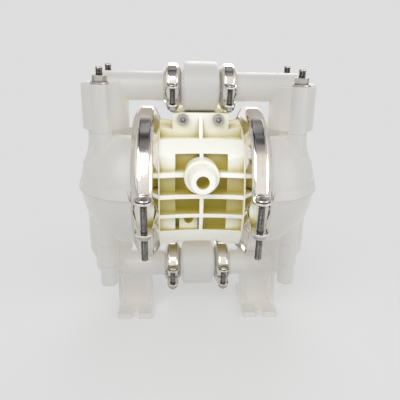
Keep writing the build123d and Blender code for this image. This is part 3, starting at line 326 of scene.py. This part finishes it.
def threaded(foot, direction, profile, thread, flats=(0, 0, 1)):
    """Points and faces of one bolt, worked out on a grid of places along it and turns about it.

    The radius is the plain profile less the thread, a triangle wave of place / pitch - turn,
    which fades over one pitch at each end. profile is (place, radius) pairs from the foot,
    thread is (start, end, pitch, depth), and flats is (start, end, width) of a hexagon.
    """
    start, end, pitch, depth = thread
    rows = np.linspace(start, end, int((end - start) / pitch * THREAD_ROWS))
    places = np.unique(np.concatenate([rows, [place for place, _ in profile]]))
    plain = np.interp(places, *np.transpose(profile))
    turn = np.linspace(0, 2 * pi, TURN_POINTS, endpoint=False)
    along, about = np.meshgrid(places, turn, indexing="ij")
    wave = np.abs(((along / pitch - about / (2 * pi)) % 1) * 2 - 1)
    fade = np.clip((along - start) / pitch, 0, 1) * np.clip((end - along) / pitch, 0, 1)
    radius = plain[:, None] - depth * wave * fade
    hexagon = flats[2] / 2 / np.cos(about % (pi / 3) - pi / 6)
    radius = np.where((along > flats[0]) & (along < flats[1]), np.minimum(hexagon, radius), radius)
    axis = np.array(direction, float)
    side = np.cross(axis, (1, 0, 0))
    ring = np.cos(about)[..., None] * side + np.sin(about)[..., None] * np.cross(axis, side)
    points = np.array(foot) + along[..., None] * axis + radius[..., None] * ring
    here = np.arange(along.size).reshape(along.shape)
    after = np.roll(here, -1, 1)
    quads = np.stack([here[:-1], after[:-1], after[1:], here[1:]], axis=-1).reshape(-1, 4)
    ends = [here[0][::-1].tolist(), here[-1].tolist()]
    return points.reshape(-1, 3) * MM, quads.tolist() + ends


def piece_of(name, parts, made):
    """One object from several (points, faces) pairs, shaded smooth up to its sharp edges."""
    points = []
    faces = []
    for some, their in parts:
        faces += [[corner + len(points) for corner in face] for face in their]
        points += some.tolist()
    mesh = bpy.data.meshes.new(name)
    mesh.from_pydata(points, [], faces)
    mesh.shade_smooth()
    mesh.set_sharp_from_angle(angle=radians(50))
    piece = bpy.data.objects.new(name, mesh)
    bpy.context.scene.collection.objects.link(piece)
    finish(piece, made)
    return piece


def carriage_bolts(centres, turn, reach, rise, head, shank_r, length, pitch, depth):
    """Bolts of some clamps, front and rear, square to split planes turned about X."""
    out = np.array((0, cos(turn), sin(turn)))
    down = np.array((0, sin(turn), -cos(turn)))
    dome = [(-head / 2, 0.0)]
    dome += [(-head / 2 * cos(a), head * sin(a)) for a in np.linspace(0.12, pi / 2, 7)]
    profile = dome + [(0.01, shank_r), (length - pitch / 2, shank_r), (length, shank_r - pitch / 3)]
    thread = (1.0, length - pitch / 4, pitch, depth)
    return [
        threaded(np.array(centre) + side * reach * out - rise * down, down, profile, thread)
        for centre in centres
        for side in (-1, 1)
    ]


def pair(x, height):
    """The middles of a clamp's left and right bands."""
    return [(-x, 0, height), (x, 0, height)]


LARGE_BAND_X = 49.5
LARGE_SPLIT = radians(5.5)
LARGE_BOLT = dict(
    reach=79.5, rise=15.35, head=6.5, shank_r=3.0, length=57.0,
    pitch=QUARTER_INCH_PITCH, depth=QUARTER_INCH_DEPTH,
)
SMALL_BAND_X = 25.5
DISCHARGE = SHAFT + 92.3
DISCHARGE_SPLIT = radians(12.5)
INLET = SHAFT - 88.5
INLET_SPLIT = radians(7.0)
SMALL_BOLT = dict(
    reach=25.5, rise=9.05, head=4.4, shank_r=2.5, length=24.0, pitch=SMALL_PITCH, depth=SMALL_DEPTH,
)
large = carriage_bolts(pair(LARGE_BAND_X, SHAFT), LARGE_SPLIT, **LARGE_BOLT)
small = [
    bolt
    for height, split in ((DISCHARGE, DISCHARGE_SPLIT), (INLET, INLET_SPLIT))
    for bolt in carriage_bolts(pair(SMALL_BAND_X, height), split, **SMALL_BOLT)
]
COLUMN_X = 88
COLUMN_Y = 28.5
LONG_FOOT = SHAFT - 95.45        # height of the underside of the long bolts' heads
LONG = 205.95
LONG_THREAD = 24
LONG_TIP = 0.8                   # length of the chamfered end
HEAD = 4.4
HEAD_R = 6.4
HEAD_FLATS = 11.1
BOLT = 3.175
long_profile = [
    (0, 5.5), (0.5, HEAD_R), (HEAD, HEAD_R), (HEAD + 0.01, BOLT), (LONG - LONG_TIP, BOLT),
    (LONG, BOLT - 0.6),
]
long_thread = (LONG - LONG_THREAD, LONG - 0.3, QUARTER_INCH_PITCH, QUARTER_INCH_DEPTH)
manifold = [
    threaded((x, y, LONG_FOOT), (0, 0, 1), long_profile, long_thread, (-1, HEAD, HEAD_FLATS))
    for x in (-COLUMN_X, COLUMN_X)
    for y in (-COLUMN_Y, COLUMN_Y)
]
for node, rods in (
    ("large_clamp_bolts", large), ("small_clamp_bolts", small), ("manifold_bolts", manifold)
):
    piece = piece_of("threaded_" + node, rods, shaded_thread)
    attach(piece, "casing")
    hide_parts(node)


# ---------------------------------------------------------------- seals, balls and spools
# White fluoropolymer diaphragms, balls and seals, acetal spools, and a black rubber gasket.
def plain(name, colour, worn, rough):
    """A simple moulded or turned surface, clouded and lightly scuffed."""
    made, tree, place = material(name)
    cloud = tree.noise(place, 90.0, 4.0, 0.6)
    skin = tree.add("ShaderNodeBump", Strength=0.1, Distance=0.0002, Height=cloud)
    shader = tree.add(
        "ShaderNodeBsdfPrincipled", Base_Color=tree.mix(cloud.between(0.35, 0.7), colour, worn),
        Roughness=rough + cloud * 0.15, Normal=skin,
    )
    surface(tree, shader)
    return made


fluoropolymer = plain("fluoropolymer", (0.82, 0.82, 0.80), (0.74, 0.73, 0.70), 0.32)
acetal = plain("acetal", (0.70, 0.69, 0.64), (0.62, 0.60, 0.54), 0.38)
rubber = plain("gasket_rubber", (0.025, 0.025, 0.026), (0.05, 0.05, 0.05), 0.62)
for node in (
    "diaphragm_left", "diaphragm_right", "manifold_o_rings", "seat_o_rings", "shaft_bushings",
    "shaft_seals", "valve_ball_inlet_left", "valve_ball_inlet_right",
    "valve_ball_discharge_left", "valve_ball_discharge_right",
):
    finish(nodes[node], fluoropolymer)
for node in ("pilot_sleeve", "pilot_spool", "air_valve_spool"):
    finish(nodes[node], acetal)
finish(nodes["air_valve_gasket"], rubber)

# ---------------------------------------------------------------- floor
# A seamless pale sweep: lit like any floor beside the pump, where it takes the soft contact
# shadow, and fading into the backdrop's own tone away from it.
BACKDROP = (0.727, 0.727, 0.727)
made, tree, place = material("floor")
grain = tree.noise(place, 30.0, 3.0, 0.5)
ground = tree.add(
    "ShaderNodeBsdfPrincipled", Base_Color=tree.mix(grain, (0.70, 0.70, 0.70), (0.68, 0.68, 0.68)),
    Roughness=0.8, Specular_IOR_Level=0.0,
)
plain_tone = tree.add("ShaderNodeEmission", Color=BACKDROP, Strength=1.0)
across = tree.apart(place, 0)
back = tree.apart(place, 1)
away = (across * across + back * back) ** 0.5
fade = away.between(0.10, 0.34) * 0.55 + 0.45
direct = tree.add("ShaderNodeLightPath", out=0)
surface(tree, tree.add("ShaderNodeMixShader", i0=fade * direct, i1=ground, i2=plain_tone))
mesh = bpy.data.meshes.new("floor")
mesh.from_pydata([(-6, -6, 0), (6, -6, 0), (6, 6, 0), (-6, 6, 0)], [], [(0, 1, 2, 3)])
floor = bpy.data.objects.new("floor", mesh)
bpy.context.scene.collection.objects.link(floor)
finish(floor, made)

# ---------------------------------------------------------------- studio
# White walls all round. Mirror surfaces also see its dark ceiling and the gaps between
# the soft boxes.
world = bpy.data.worlds.new("studio")
world.use_nodes = True
world.node_tree.nodes.clear()
sky = Shade(world.node_tree)
way = sky.add("ShaderNodeTexCoord", out=0)
sideways = sky.math("ABSOLUTE", sky.apart(way, 0))
upwards = sky.apart(way, 2)
ceiling = upwards.between(0.78, 0.90)
gap = sideways.between(0.50, 0.58) * (1 - sideways.between(0.72, 0.80))
blotch = sky.noise(way, 2.2, 3.0, 0.5).between(0.42, 0.62)
dark = sky.math("MAXIMUM", ceiling, gap * 0.8) * (0.6 + 0.4 * blotch)
mirror_tone = sky.mix(dark, (0.95, 0.925, 0.895), (0.015, 0.015, 0.018))
seen = sky.add("ShaderNodeLightPath", out=0)
mirrored = sky.add("ShaderNodeLightPath", out=3)
air = sky.add("ShaderNodeBackground", Color=(1, 1, 1), Strength=0.62)
room = sky.add("ShaderNodeBackground", Color=mirror_tone, Strength=1.0)
backdrop = sky.add("ShaderNodeBackground", Color=BACKDROP, Strength=1.0)
lit = sky.add("ShaderNodeMixShader", i0=mirrored, i1=air, i2=room)
sky.add("ShaderNodeOutputWorld", Surface=sky.add("ShaderNodeMixShader", i0=seen, i1=lit, i2=backdrop))
bpy.context.scene.world = world


def lamp(name, place, size, power):
    """A square soft light that points at the middle of the pump."""
    data = bpy.data.lights.new(name, "AREA")
    data.size = size
    data.energy = power
    piece = bpy.data.objects.new(name, data)
    aim = Vector((0, 0, 0.13)) - Vector(place)
    piece.matrix_world = Matrix.Translation(place) @ aim.to_track_quat("-Z", "Y").to_matrix().to_4x4()
    bpy.context.scene.collection.objects.link(piece)


lamp("key", (-0.5, -0.9, 0.9), 0.9, 8.0)
lamp("fill", (0.9, -0.7, 0.5), 0.9, 5.0)
lamp("back", (0.2, 0.9, 0.9), 0.8, 4.0)
